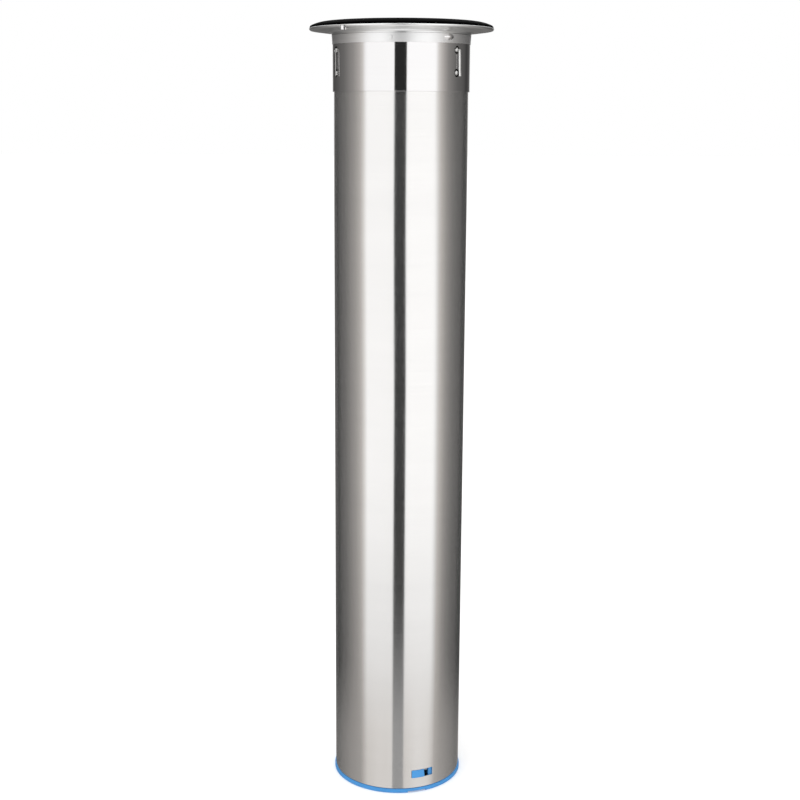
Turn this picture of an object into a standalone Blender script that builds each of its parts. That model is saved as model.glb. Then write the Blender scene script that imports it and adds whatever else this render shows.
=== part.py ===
"""In-counter cup dispenser: a stainless tube with a sprung platform, a mouth ring and a clip-in base cap.

Frame: metres, +Z up, origin at the centre of the base cap's underside. Azimuths are in degrees, 0 at the
front (-Y) and growing towards +X. Radii and heights below are in millimetres and are turned into metres by MM.
"""

import math

import bmesh
import bpy
from mathutils import Matrix, Vector

MM = 0.001
GAP = 0.3  # left between pieces that touch
SEGMENTS = 48  # facets round every large turned piece
SMALL_SEGMENTS = 12  # facets round rivets, screws and small holes
THIRDS = (0.0, 120.0, 240.0)
HALVES = (0.0, 180.0)
LETTERS = ("a", "b", "c")

# Tube
TUBE_R = 50.0
TUBE_WALL = 0.8
TUBE_BORE_R = TUBE_R - TUBE_WALL
TUBE_TOP = 581.0

# Base cap and its two snap latches, half a turn apart
CAP_RIM_R = 50.8
CAP_RIM_H = 3.0
CAP_FLOOR = 3.0
CAP_SKIRT_R = TUBE_BORE_R - GAP
CAP_SKIRT_WALL = 1.9
CAP_SKIRT_TOP = 24.0
CAP_RECESS_R = 44.0
CAP_RECESS_DEPTH = 1.0
CAP_HUB_R = 9.0
CAP_DRAIN_R = 4.0
CAP_DRAIN_CIRCLE_R = 26.0
TUBE_BOTTOM = CAP_RIM_H + GAP
WINDOW_AZ = (12.8, 33.9)  # the latch windows cut through the tube wall
WINDOW_Z = (11.2, 19.1)
LATCH_AZ = (13.2, 25.2)
LATCH_SLOT_AZ = (9.2, 31.0)  # the opening in the cap skirt that frees the latch finger
LATCH_GAP = 0.5
LATCH_BASE = CAP_RIM_H + 0.7
LATCH_TOP = 21.0
LATCH_WALL = 1.7
LUG_Z = (11.5, 18.8)
LUG_R = 51.3
PRY_AZ = (9.8, 27.0)  # finger relief under each latch
PRY_DEPTH = 1.3

# Collar, a polished band round the top of the tube
COLLAR_BORE_R = TUBE_R + GAP
COLLAR_R = COLLAR_BORE_R + 0.65
COLLAR_BOTTOM = 540.0
COLLAR_TOP = 580.4

# Flange: a neck band, and a pressed plate with a flat seat, a slope up to the rim and an upturned lip
SHEET = 0.8
NECK_BORE_R = COLLAR_R + GAP
NECK_R = NECK_BORE_R + 0.6
NECK_BOTTOM = 573.85
NECK_FILLET = 2.2
SEAT_Z = 582.8
NECK_TOP = SEAT_Z - NECK_FILLET - GAP
SEAT_R = 59.5
FLANGE_R = 68.0
FLANGE_RIM_Z = 583.6
LIP_RADIUS = 1.3
LIP_TOP = 585.5
TAB_AZ = -36.3  # small tabs bent down out of the flange, which bite into the counter
TAB_R = (59.8, 65.3)
TAB_THICK = 0.8
TAB_DROP = 1.4
TAB_SLOT = 2.6
BUMP_AZ = 40.8
BUMP_Z = 577.8
BUMP_HALF = (4.4, 1.0, 2.0)  # half width round the neck, height off it, half height

# Retention clips: strips that stand off the collar beside two holes, on legs with round studs in the holes
CLIP_AZ = 51.5
CLIP_HOLE_R = 2.9
CLIP_HOLE_Z = (553.1, 569.2)
CLIP_STRIP = 0.7
CLIP_WIDTH = 2.8
CLIP_ASIDE = 2.3  # from the holes to the middle of the strip, along the tangent
CLIP_BOW_R = 53.0
CLIP_BEND = 0.9
CLIP_LEG_WIDTH = 1.6
CLIP_LEG_ASIDE = 1.1
CLIP_LEG_Z = (551.6, 569.6)  # outer faces of the lower and the upper leg
CLIP_HOOK_R = 48.2
CLIP_HOOK = 2.2
CLIP_STUD_R = 1.5
CLIP_STUD_TOP = 51.4

# Rivets through neck, collar and tube
RIVET_AZ = -8.0
RIVET_Z = 577.0
RIVET_SHANK_R = 1.5
RIVET_HOLE_R = RIVET_SHANK_R + GAP
RIVET_HEAD_R = 2.2
RIVET_HEAD_H = 0.8

# Mouth: stop ring, gasket and trim ring
STOP_R = 50.9
STOP_BORE_R = 46.4
STOP_SLEEVE_BOTTOM = 579.4
STOP_TOP = 583.9
GASKET_BOTTOM = STOP_TOP + GAP
GASKET_THICK = 1.6
GASKET_R = 62.0
GASKET_TIP_R = 36.0
GASKET_ROOT_R = 47.0
PETALS = 12
SLIT_WIDTH = 1.2
TRIM_R = 67.8
TRIM_BOTTOM = LIP_TOP + GAP
TRIM_CREST_R = 55.5
TRIM_TOP = 590.0
TRIM_WEB_BOTTOM = GASKET_BOTTOM + GASKET_THICK + GAP
TRIM_SKIRT_R = 66.6
TRIM_SKIRT_BORE_R = GASKET_R + GAP
TRIM_SKIRT_BOTTOM = 584.8
TRIM_BORE_R = 46.0
TRIM_MOUTH_Z = 588.2

# Carriage: platform, guide shoes and the ring that centres the spring
PLATFORM_R = 45.8
PLATFORM_TOP = 579.0
PLATE = 4.0
PLATFORM_SKIRT_BOTTOM = 560.0
PLATFORM_SKIRT_WALL = 1.8
PLATFORM_HOLE_R = 7.0
DISH_R = 36.0
DISH_DEPTH = 0.8
SHOE_AZ = 20.0
SHOE_SPAN_AZ = 14.0
SHOE_Z = (562.0, 574.0)
SHOE_R = TUBE_BORE_R - GAP
CENTRING_R = 37.8
CENTRING_BORE_R = 31.8
CENTRING_H = 4.6
SCREW_CIRCLE_R = 34.8
SCREW_R = 1.2
SCREW_HEAD_R = 2.3
SCREW_HEAD_H = 1.6
SCREW_LENGTH = 7.2

# Lift spring and the washer that it stands on
SPRING_WIRE_R = 1.0
SPRING_MEAN_R = 40.0
SPRING_TURNS = 20
SPRING_CLOSED_TURNS = 1.5
SPRING_STEPS = 16
SEAT_WASHER_R = 44.0
SEAT_WASHER_BORE_R = 36.0
SEAT_WASHER_THICK = 0.8


def clear_scene():
    for item in list(bpy.data.objects):
        bpy.data.objects.remove(item)


def material(name, colour, roughness, metallic):
    """One Principled material; colour is linear RGB."""
    made = bpy.data.materials.new(name)
    made.use_nodes = True
    shader = made.node_tree.nodes["Principled BSDF"]
    shader.inputs["Base Color"].default_value = (*colour, 1.0)
    shader.inputs["Roughness"].default_value = roughness
    shader.inputs["Metallic"].default_value = metallic
    return made


def materials():
    return {
        "brushed": material("brushed_stainless", (0.62, 0.60, 0.58), 0.28, 1.0),
        "polished": material("polished_stainless", (0.72, 0.71, 0.70), 0.08, 1.0),
        "pressed": material("pressed_flange", (0.70, 0.71, 0.71), 0.18, 1.0),
        "trim": material("black_trim", (0.012, 0.013, 0.014), 0.35, 0.0),
        "rubber": material("black_rubber", (0.02, 0.02, 0.02), 0.75, 0.0),
        "blue": material("blue_plastic", (0.06, 0.29, 0.78), 0.38, 0.0),
        "white": material("white_acetal", (0.75, 0.75, 0.72), 0.45, 0.0),
        "grey": material("grey_plastic", (0.35, 0.36, 0.37), 0.5, 0.0),
        "spring": material("spring_steel", (0.55, 0.55, 0.56), 0.3, 1.0),
        "fastener": material("fastener_steel", (0.6, 0.6, 0.6), 0.25, 1.0),
    }


def place(name, mesh_builder, finish):
    """Turns a bmesh in millimetres into a named object in metres, with its faces facing out."""
    bmesh.ops.recalc_face_normals(mesh_builder, faces=mesh_builder.faces)
    bmesh.ops.scale(mesh_builder, vec=Vector((MM, MM, MM)), verts=mesh_builder.verts)
    mesh = bpy.data.meshes.new(name)
    mesh_builder.to_mesh(mesh)
    mesh_builder.free()
    mesh.shade_smooth()
    mesh.set_sharp_from_angle(angle=math.radians(30))
    item = bpy.data.objects.new(name, mesh)
    bpy.context.scene.collection.objects.link(item)
    if finish is None:
        item.hide_render = True
        item.display_type = "WIRE"
    else:
        mesh.materials.append(finish)
    return item


def cut(item, cutter, operation="DIFFERENCE"):
    """Adds a Boolean; every cutter is longer than the wall that it goes through."""
    boolean = item.modifiers.new(cutter.name, "BOOLEAN")
    boolean.operation = operation
    boolean.solver = "EXACT"
    boolean.object = cutter


def polar(azimuth, radius, height):
    """The point at an azimuth in degrees, a radius and a height."""
    angle = math.radians(azimuth)
    return Vector((radius * math.sin(angle), -radius * math.cos(angle), height))


def upright_frame(azimuth, radius):
    """Turns local X to +Z at an azimuth and a radius."""
    return Matrix.Translation(polar(azimuth, radius, 0)) @ Matrix.Rotation(-math.pi / 2, 4, "Y")


def radial_frame(azimuth):
    """Turns local X to the outward radius at an azimuth and local Y to the tangent, with Z kept up."""
    return Matrix.Rotation(math.radians(azimuth - 90.0), 4, "Z")


def arc(centre, radius, start, end, steps):
    """Points (r, z) on an arc, angles in degrees from the +r direction."""
    points = []
    for step in range(steps + 1):
        angle = math.radians(start + (end - start) * step / steps)
        points.append((centre[0] + radius * math.cos(angle), centre[1] + radius * math.sin(angle)))
    return points


def add_ring(builder, outline):
    """Turns a closed (r, z) outline a full circle about Z."""
    rings = []
    for step in range(SEGMENTS):
        azimuth = 360.0 * step / SEGMENTS
        rings.append([builder.verts.new(polar(azimuth, r, z)) for r, z in outline])
    for step, ring in enumerate(rings):
        following = rings[(step + 1) % SEGMENTS]
        for index in range(len(outline)):
            after = (index + 1) % len(outline)
            builder.faces.new((ring[index], ring[after], following[after], following[index]))


def add_sector(builder, outline, start, end, steps):
    """Turns a closed (r, z) outline part of a circle about Z and closes both ends."""
    rings = []
    for step in range(steps + 1):
        azimuth = start + (end - start) * step / steps
        rings.append([builder.verts.new(polar(azimuth, r, z)) for r, z in outline])
    for ring, following in zip(rings, rings[1:]):
        for index in range(len(outline)):
            after = (index + 1) % len(outline)
            builder.faces.new((ring[index], ring[after], following[after], following[index]))
    builder.faces.new(rings[0])
    builder.faces.new(rings[-1])


def add_prism(builder, outline, width, azimuth, aside=0.0):
    """Extrudes a closed (r, z) outline across the radius at an azimuth, moved aside along the tangent."""
    frame = radial_frame(azimuth)
    sides = []
    for offset in (aside - width / 2, aside + width / 2):
        sides.append([builder.verts.new(frame @ Vector((r, offset, z))) for r, z in outline])
    for index in range(len(outline)):
        after = (index + 1) % len(outline)
        builder.faces.new((sides[0][index], sides[0][after], sides[1][after], sides[1][index]))
    builder.faces.new(sides[0])
    builder.faces.new(sides[1])


def add_turned_pin(builder, outline, frame):
    """Turns an open (radius, distance) outline about local X, from one end on the axis to the other."""
    poles = [builder.verts.new(frame @ Vector((outline[end][1], 0, 0))) for end in (0, -1)]
    rings = []
    for radius, distance in outline[1:-1]:
        ring = []
        for step in range(SMALL_SEGMENTS):
            angle = 2 * math.pi * step / SMALL_SEGMENTS
            point = Vector((distance, radius * math.cos(angle), radius * math.sin(angle)))
            ring.append(builder.verts.new(frame @ point))
        rings.append(ring)
    for step in range(SMALL_SEGMENTS):
        after = (step + 1) % SMALL_SEGMENTS
        builder.faces.new((poles[0], rings[0][step], rings[0][after]))
        builder.faces.new((poles[1], rings[-1][after], rings[-1][step]))
        for ring, following in zip(rings, rings[1:]):
            builder.faces.new((ring[step], following[step], following[after], ring[after]))


def ring(name, outline, finish):
    builder = bmesh.new()
    add_ring(builder, outline)
    return place(name, builder, finish)


def radial_hole_cutters(name, azimuth, heights, radius, inner, outer):
    """Radial drills a third of a turn apart and at the given heights, as one cutter."""
    builder = bmesh.new()
    for third in THIRDS:
        for height in heights:
            frame = Matrix.Translation((0, 0, height)) @ radial_frame(azimuth + third)
            outline = [(0, inner), (radius, inner), (radius, outer), (0, outer)]
            add_turned_pin(builder, outline, frame)
    return place(name, builder, None)


def sector_cutters(name, outline, span, steps=4):
    """Turned cutters half a turn apart, as one cutter."""
    builder = bmesh.new()
    for half in HALVES:
        add_sector(builder, outline, span[0] + half, span[1] + half, steps)
    return place(name, builder, None)


def rectangle(inner, outer, low, high):
    return [(inner, low), (outer, low), (outer, high), (inner, high)]


def make_tube(finish):
    """The rolled tube, with the latch windows, the clip holes and the rivet holes."""
    tube = ring("tube", rectangle(TUBE_BORE_R, TUBE_R, TUBE_BOTTOM, TUBE_TOP), finish)
    windows = rectangle(TUBE_BORE_R - 2, TUBE_R + 2, *WINDOW_Z)
    cut(tube, sector_cutters("window_cutter", windows, WINDOW_AZ))
    span = (TUBE_BORE_R - 2, TUBE_R + 2)
    cut(tube, radial_hole_cutters("tube_clip_cutter", CLIP_AZ, CLIP_HOLE_Z, CLIP_HOLE_R, *span))
    cut(tube, radial_hole_cutters("tube_rivet_cutter", RIVET_AZ, (RIVET_Z,), RIVET_HOLE_R, *span))


def make_collar(finish):
    collar = ring("collar", rectangle(COLLAR_BORE_R, COLLAR_R, COLLAR_BOTTOM, COLLAR_TOP), finish)
    span = (COLLAR_BORE_R - 2, COLLAR_R + 2)
    cut(collar, radial_hole_cutters("collar_clip_cutter", CLIP_AZ, CLIP_HOLE_Z, CLIP_HOLE_R, *span))
    cut(collar, radial_hole_cutters("collar_rivet_cutter", RIVET_AZ, (RIVET_Z,), RIVET_HOLE_R, *span))


def flange_outline():
    """The pressed plate: from the neck band along the seat to the lip, and back along the top."""
    fillet_centre = (NECK_BORE_R + SHEET + NECK_FILLET, SEAT_Z - NECK_FILLET)
    lip_centre = (FLANGE_R - LIP_RADIUS, FLANGE_RIM_Z + LIP_RADIUS)
    points = arc(fillet_centre, NECK_FILLET, 180, 90, 3)
    points += [(SEAT_R, SEAT_Z)]
    points += arc(lip_centre, LIP_RADIUS, -90, 0, 2)
    points += [(FLANGE_R, LIP_TOP), (FLANGE_R - SHEET, LIP_TOP)]
    points += arc(lip_centre, LIP_RADIUS - SHEET, 0, -90, 1)
    points += [(SEAT_R, SEAT_Z + SHEET)]
    points += arc(fillet_centre, NECK_FILLET + SHEET, 90, 180, 3)
    return points


def neck_bump_tool():
    """Two half ellipsoids that stand off the neck, trimmed clear of its bore."""
    sunk = 0.2
    builder = bmesh.new()
    size = Matrix.Diagonal((BUMP_HALF[1] + sunk, BUMP_HALF[0], BUMP_HALF[2], 1))
    for half in HALVES:
        centre = Matrix.Translation(polar(BUMP_AZ + half, NECK_R - sunk, BUMP_Z))
        placed = centre @ radial_frame(BUMP_AZ + half) @ size
        bmesh.ops.create_uvsphere(builder, u_segments=10, v_segments=6, radius=1.0, matrix=placed)
    tool = place("bump_tool", builder, None)
    shell = rectangle(NECK_BORE_R + 0.3, NECK_R + 3, NECK_BOTTOM + 0.5, NECK_TOP - 0.02)
    cut(tool, ring("bump_trim", shell, None), "INTERSECT")
    return tool


def make_neck(finish):
    """The band under the flange, riveted through the collar, with two bumps and a turned-in lower edge."""
    outline = [(NECK_BORE_R, NECK_BOTTOM), (NECK_R - 0.3, NECK_BOTTOM), (NECK_R, NECK_BOTTOM + 0.6)]
    outline += [(NECK_R, NECK_TOP), (NECK_BORE_R, NECK_TOP)]
    neck = ring("flange_neck", outline, finish)
    cut(neck, neck_bump_tool(), "UNION")
    span = (NECK_R - 3, NECK_R + 3)
    cut(neck, radial_hole_cutters("neck_rivet_cutter", RIVET_AZ, (RIVET_Z,), RIVET_HOLE_R, *span))


def make_flange(finish):
    """The flange plate, with two tabs lanced out of its seat."""
    flange = ring("flange", flange_outline(), finish)
    tab = [(TAB_R[0], SEAT_Z - TAB_DROP), (TAB_R[1] - 0.8, SEAT_Z - TAB_DROP)]
    tab += [(TAB_R[1], FLANGE_RIM_Z + SHEET / 4), (TAB_R[0], SEAT_Z + SHEET / 2)]
    slot = rectangle(*TAB_R, SEAT_Z - 1, SEAT_Z + 3)
    tabs = bmesh.new()
    slots = bmesh.new()
    for half in HALVES:
        add_prism(tabs, tab, TAB_THICK, TAB_AZ + half)
        add_prism(slots, slot, TAB_SLOT, TAB_AZ + half, (TAB_SLOT + TAB_THICK) / 2)
    cut(flange, place("tab_tool", tabs, None), "UNION")
    cut(flange, place("tab_slot_cutter", slots, None))


def make_rivets(finish):
    """Three rivets with a domed head outside the neck and a flat head inside the tube."""
    outer = NECK_R + GAP
    inner = TUBE_BORE_R - GAP
    outline = [(0, inner - RIVET_HEAD_H), (RIVET_HEAD_R, inner - RIVET_HEAD_H), (RIVET_HEAD_R, inner)]
    outline += [(RIVET_SHANK_R, inner), (RIVET_SHANK_R, outer), (RIVET_HEAD_R, outer)]
    outline += [(RIVET_HEAD_R * 0.6, outer + RIVET_HEAD_H * 0.8), (0, outer + RIVET_HEAD_H)]
    for letter, third in zip(LETTERS, THIRDS):
        builder = bmesh.new()
        frame = Matrix.Translation((0, 0, RIVET_Z)) @ radial_frame(RIVET_AZ + third)
        add_turned_pin(builder, outline, frame)
        place(f"collar_rivet_{letter}", builder, finish)


def make_clips(finish):
    """A bowed strip, joined at its ends to studded legs that go through the holes and hook behind the tube."""
    low, high = CLIP_LEG_Z
    bow = CLIP_BOW_R - CLIP_BEND
    hook = CLIP_HOOK_R + CLIP_STRIP
    strip = arc((bow, low + CLIP_BEND), CLIP_BEND, -90, 0, 3)
    strip += arc((bow, high - CLIP_BEND), CLIP_BEND, 0, 90, 3)
    strip += [(bow, high - CLIP_STRIP), (CLIP_BOW_R - CLIP_STRIP, high - CLIP_BEND)]
    strip += [(CLIP_BOW_R - CLIP_STRIP, low + CLIP_BEND), (bow, low + CLIP_STRIP)]
    lower = [(CLIP_HOOK_R, low - CLIP_HOOK), (hook, low - CLIP_HOOK), (hook, low), (bow + 0.2, low)]
    lower += [(bow + 0.2, low + CLIP_STRIP), (CLIP_HOOK_R, low + CLIP_STRIP)]
    upper = [(r, low + high - z) for r, z in lower]
    stud = [(0, hook - CLIP_STRIP / 2), (CLIP_STUD_R, hook - CLIP_STRIP / 2)]
    stud += [(CLIP_STUD_R, CLIP_STUD_TOP - 0.5), (CLIP_STUD_R * 0.6, CLIP_STUD_TOP), (0, CLIP_STUD_TOP)]
    for letter, third in zip(LETTERS, THIRDS):
        azimuth = CLIP_AZ + third
        builder = bmesh.new()
        add_prism(builder, strip, CLIP_WIDTH, azimuth, CLIP_ASIDE)
        clip = place(f"retention_clip_{letter}", builder, finish)
        legs = bmesh.new()
        for leg in (lower, upper):
            add_prism(legs, leg, CLIP_LEG_WIDTH, azimuth, CLIP_LEG_ASIDE)
        cut(clip, place(f"clip_leg_tool_{letter}", legs, None), "UNION")
        studs = bmesh.new()
        for height in CLIP_HOLE_Z:
            add_turned_pin(studs, stud, Matrix.Translation((0, 0, height)) @ radial_frame(azimuth))
        cut(clip, place(f"clip_stud_tool_{letter}", studs, None), "UNION")


def make_stop_ring(finish):
    """Sits on the tube's top edge; its sleeve stops the platform and guides cups past the edge."""
    outline = [(STOP_BORE_R, STOP_SLEEVE_BOTTOM), (TUBE_BORE_R - GAP, STOP_SLEEVE_BOTTOM)]
    outline += [(TUBE_BORE_R - GAP, TUBE_TOP + GAP), (STOP_R, TUBE_TOP + GAP), (STOP_R, STOP_TOP)]
    outline += [(STOP_BORE_R + 0.8, STOP_TOP), (STOP_BORE_R, STOP_TOP - 0.8)]
    ring("stop_ring", outline, finish)


def make_gasket(finish):
    """The rubber gasket: a clamped rim and petals split by slits."""
    high = GASKET_BOTTOM + GASKET_THICK
    gasket = ring("cup_gasket", rectangle(GASKET_TIP_R, GASKET_R, GASKET_BOTTOM, high), finish)
    builder = bmesh.new()
    for petal in range(PETALS):
        azimuth = 360.0 * (petal + 0.5) / PETALS
        slit = rectangle(GASKET_TIP_R - 3, GASKET_ROOT_R, GASKET_BOTTOM - 1, high + 1)
        add_prism(builder, slit, SLIT_WIDTH, azimuth)
    cut(gasket, place("slit_cutter", builder, None))


def make_trim_ring(finish):
    """The moulded top ring: a thin edge, a long low dome that falls to the mouth, and a skirt in the lip."""
    mouth = TRIM_MOUTH_Z - 1.0
    outline = [(TRIM_R, TRIM_BOTTOM), (TRIM_R - 0.6, TRIM_BOTTOM + 1.2), (TRIM_R - 3.8, TRIM_TOP - 1.5)]
    outline += [(TRIM_CREST_R + 4.5, TRIM_TOP - 0.4), (TRIM_CREST_R, TRIM_TOP)]
    outline += [((TRIM_CREST_R + TRIM_BORE_R) / 2, (TRIM_TOP + TRIM_MOUTH_Z) / 2 + 0.1)]
    outline += arc((TRIM_BORE_R + 1.0, mouth), 1.0, 90, 180, 2)
    outline += [(TRIM_BORE_R, TRIM_WEB_BOTTOM), (TRIM_SKIRT_BORE_R, TRIM_WEB_BOTTOM)]
    outline += [(TRIM_SKIRT_BORE_R, TRIM_SKIRT_BOTTOM), (TRIM_SKIRT_R, TRIM_SKIRT_BOTTOM)]
    outline += [(TRIM_SKIRT_R, TRIM_BOTTOM)]
    ring("trim_ring", outline, finish)


def make_base_cap(finish):
    """The cap: a rim under the tube's edge, a floor with drains, and a skirt slotted for the latches."""
    skirt_bore = CAP_SKIRT_R - CAP_SKIRT_WALL
    outline = [(CAP_RIM_R - 0.5, 0), (CAP_RIM_R, 0.5), (CAP_RIM_R, CAP_RIM_H), (CAP_SKIRT_R, CAP_RIM_H)]
    outline += [(CAP_SKIRT_R, CAP_SKIRT_TOP - 0.6), (CAP_SKIRT_R - 0.6, CAP_SKIRT_TOP)]
    outline += [(skirt_bore, CAP_SKIRT_TOP), (skirt_bore, CAP_FLOOR), (CAP_HUB_R, CAP_FLOOR)]
    outline += [(CAP_HUB_R, CAP_RECESS_DEPTH), (CAP_RECESS_R, CAP_RECESS_DEPTH), (CAP_RECESS_R, 0)]
    cap = ring("base_cap", outline, finish)
    slots = rectangle(skirt_bore - 2, CAP_SKIRT_R + 2, LATCH_BASE - LATCH_GAP, CAP_SKIRT_TOP + 2)
    cut(cap, sector_cutters("latch_slot_cutter", slots, LATCH_SLOT_AZ))
    relief = rectangle(CAP_RECESS_R + 2, CAP_RIM_R + 2, -1, PRY_DEPTH)
    cut(cap, sector_cutters("pry_cutter", relief, PRY_AZ))
    builder = bmesh.new()
    drain = [(0, -1), (CAP_DRAIN_R, -1), (CAP_DRAIN_R, CAP_FLOOR + 1), (0, CAP_FLOOR + 1)]
    for step in range(6):
        add_turned_pin(builder, drain, upright_frame(60.0 * step, CAP_DRAIN_CIRCLE_R))
    cut(cap, place("drain_cutter", builder, None))


def make_latches(finish):
    """A sprung finger of the cap's skirt with a lug that fills part of the tube's window."""
    inner = CAP_SKIRT_R - LATCH_WALL
    outline = [(inner, LATCH_BASE), (CAP_SKIRT_R, LATCH_BASE), (CAP_SKIRT_R, LUG_Z[0])]
    outline += [(LUG_R - 0.4, LUG_Z[0]), (LUG_R, LUG_Z[0] + 0.6), (LUG_R - 0.2, LUG_Z[0] + 2.0)]
    outline += [(TUBE_R, LUG_Z[1] - 0.6), (TUBE_R - 0.4, LUG_Z[1]), (CAP_SKIRT_R, LUG_Z[1])]
    outline += [(CAP_SKIRT_R, LATCH_TOP - 0.5), (CAP_SKIRT_R - 0.5, LATCH_TOP), (inner, LATCH_TOP)]
    for letter, half in zip(LETTERS, HALVES):
        builder = bmesh.new()
        add_sector(builder, outline, LATCH_AZ[0] + half, LATCH_AZ[1] + half, 4)
        place(f"cap_latch_{letter}", builder, finish)


def make_platform(finish):
    """The follower that carries the cups: a dished plate with a skirt and three screw holes."""
    skirt_bore = PLATFORM_R - PLATFORM_SKIRT_WALL
    underside = PLATFORM_TOP - PLATE
    outline = [(PLATFORM_HOLE_R, underside), (skirt_bore, underside), (skirt_bore, PLATFORM_SKIRT_BOTTOM)]
    outline += [(PLATFORM_R, PLATFORM_SKIRT_BOTTOM), (PLATFORM_R, PLATFORM_TOP - 1.2)]
    outline += [(PLATFORM_R - 1.2, PLATFORM_TOP), (DISH_R + 1, PLATFORM_TOP)]
    outline += [(DISH_R, PLATFORM_TOP - DISH_DEPTH), (PLATFORM_HOLE_R, PLATFORM_TOP - DISH_DEPTH)]
    platform = ring("platform", outline, finish)
    cut(platform, screw_hole_cutter("platform_screw_cutter", underside - 1, underside + 2.4))


def screw_hole_cutter(name, low, high):
    builder = bmesh.new()
    radius = SCREW_R + GAP
    outline = [(0, low), (radius, low), (radius, high), (0, high)]
    for third in THIRDS:
        add_turned_pin(builder, outline, upright_frame(SHOE_AZ + third, SCREW_CIRCLE_R))
    return place(name, builder, None)


def make_centring_ring(finish):
    """Holds the top coil on centre under the platform."""
    high = PLATFORM_TOP - PLATE - GAP
    low = high - CENTRING_H
    made = ring("spring_centring_ring", rectangle(CENTRING_BORE_R, CENTRING_R, low, high), finish)
    cut(made, screw_hole_cutter("ring_screw_cutter", low - 1, high + 1))


def make_screws(finish):
    """Three pan-head screws from below, through the centring ring into the platform."""
    seat = PLATFORM_TOP - PLATE - CENTRING_H - 2 * GAP
    outline = [(0, seat - SCREW_HEAD_H), (SCREW_HEAD_R * 0.7, seat - SCREW_HEAD_H)]
    outline += [(SCREW_HEAD_R, seat - SCREW_HEAD_H * 0.5), (SCREW_HEAD_R, seat), (SCREW_R, seat)]
    outline += [(SCREW_R, seat + SCREW_LENGTH), (0, seat + SCREW_LENGTH)]
    for letter, third in zip(LETTERS, THIRDS):
        builder = bmesh.new()
        add_turned_pin(builder, outline, upright_frame(SHOE_AZ + third, SCREW_CIRCLE_R))
        place(f"platform_screw_{letter}", builder, finish)


def make_shoes(finish):
    """Guide shoes that keep the platform square in the tube."""
    low, high = SHOE_Z
    inner = PLATFORM_R + GAP
    outline = [(inner, low), (SHOE_R - 1, low), (SHOE_R, low + 1.5), (SHOE_R, high - 1.5), (SHOE_R - 1, high)]
    outline += [(inner, high)]
    for letter, third in zip(LETTERS, THIRDS):
        builder = bmesh.new()
        centre = SHOE_AZ + third
        add_sector(builder, outline, centre - SHOE_SPAN_AZ / 2, centre + SHOE_SPAN_AZ / 2, 4)
        place(f"guide_shoe_{letter}", builder, finish)


def make_seat_washer(finish):
    low = CAP_FLOOR + GAP
    ring("spring_seat", rectangle(SEAT_WASHER_BORE_R, SEAT_WASHER_R, low, low + SEAT_WASHER_THICK), finish)


def spring_height(turn, bottom, top):
    """Height of the wire's centre: closed turns at both ends and an even pitch between them."""
    closed_pitch = 2 * SPRING_WIRE_R + 0.4
    closed_rise = closed_pitch * SPRING_CLOSED_TURNS
    if turn < SPRING_CLOSED_TURNS:
        return bottom + closed_pitch * turn
    if turn > SPRING_TURNS - SPRING_CLOSED_TURNS:
        return top - closed_pitch * (SPRING_TURNS - turn)
    share = (turn - SPRING_CLOSED_TURNS) / (SPRING_TURNS - 2 * SPRING_CLOSED_TURNS)
    return bottom + closed_rise + (top - bottom - 2 * closed_rise) * share


def make_spring(finish):
    """The long compression spring that lifts the platform, as one round wire."""
    bottom = CAP_FLOOR + 2 * GAP + SEAT_WASHER_THICK + SPRING_WIRE_R
    top = PLATFORM_TOP - PLATE - GAP - SPRING_WIRE_R
    curve = bpy.data.curves.new("lift_spring", "CURVE")
    curve.dimensions = "3D"
    curve.bevel_depth = SPRING_WIRE_R * MM
    curve.bevel_resolution = 0
    curve.use_fill_caps = True
    wire = curve.splines.new("POLY")
    count = SPRING_TURNS * SPRING_STEPS
    wire.points.add(count)
    for step in range(count + 1):
        turn = step / SPRING_STEPS
        point = polar(360.0 * turn, SPRING_MEAN_R, spring_height(turn, bottom, top)) * MM
        wire.points[step].co = (*point, 1.0)
    curve.materials.append(finish)
    item = bpy.data.objects.new("lift_spring", curve)
    bpy.context.scene.collection.objects.link(item)


def main():
    clear_scene()
    finish = materials()
    make_tube(finish["brushed"])
    make_collar(finish["polished"])
    make_neck(finish["pressed"])
    make_flange(finish["pressed"])
    make_rivets(finish["fastener"])
    make_clips(finish["spring"])
    make_stop_ring(finish["grey"])
    make_gasket(finish["rubber"])
    make_trim_ring(finish["trim"])
    make_base_cap(finish["blue"])
    make_latches(finish["blue"])
    make_platform(finish["white"])
    make_centring_ring(finish["grey"])
    make_screws(finish["fastener"])
    make_shoes(finish["grey"])
    make_seat_washer(finish["fastener"])
    make_spring(finish["spring"])


main()
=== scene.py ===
"""Looks of the in-counter cup dispenser: finished meshes, materials, studio and camera.

Lengths are in millimetres until place() turns them into metres. Azimuths are in degrees,
0 at the front (-Y) and growing towards +X, as in the frame.
"""

import math

import bmesh
import bpy
from mathutils import Matrix, Vector


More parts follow.
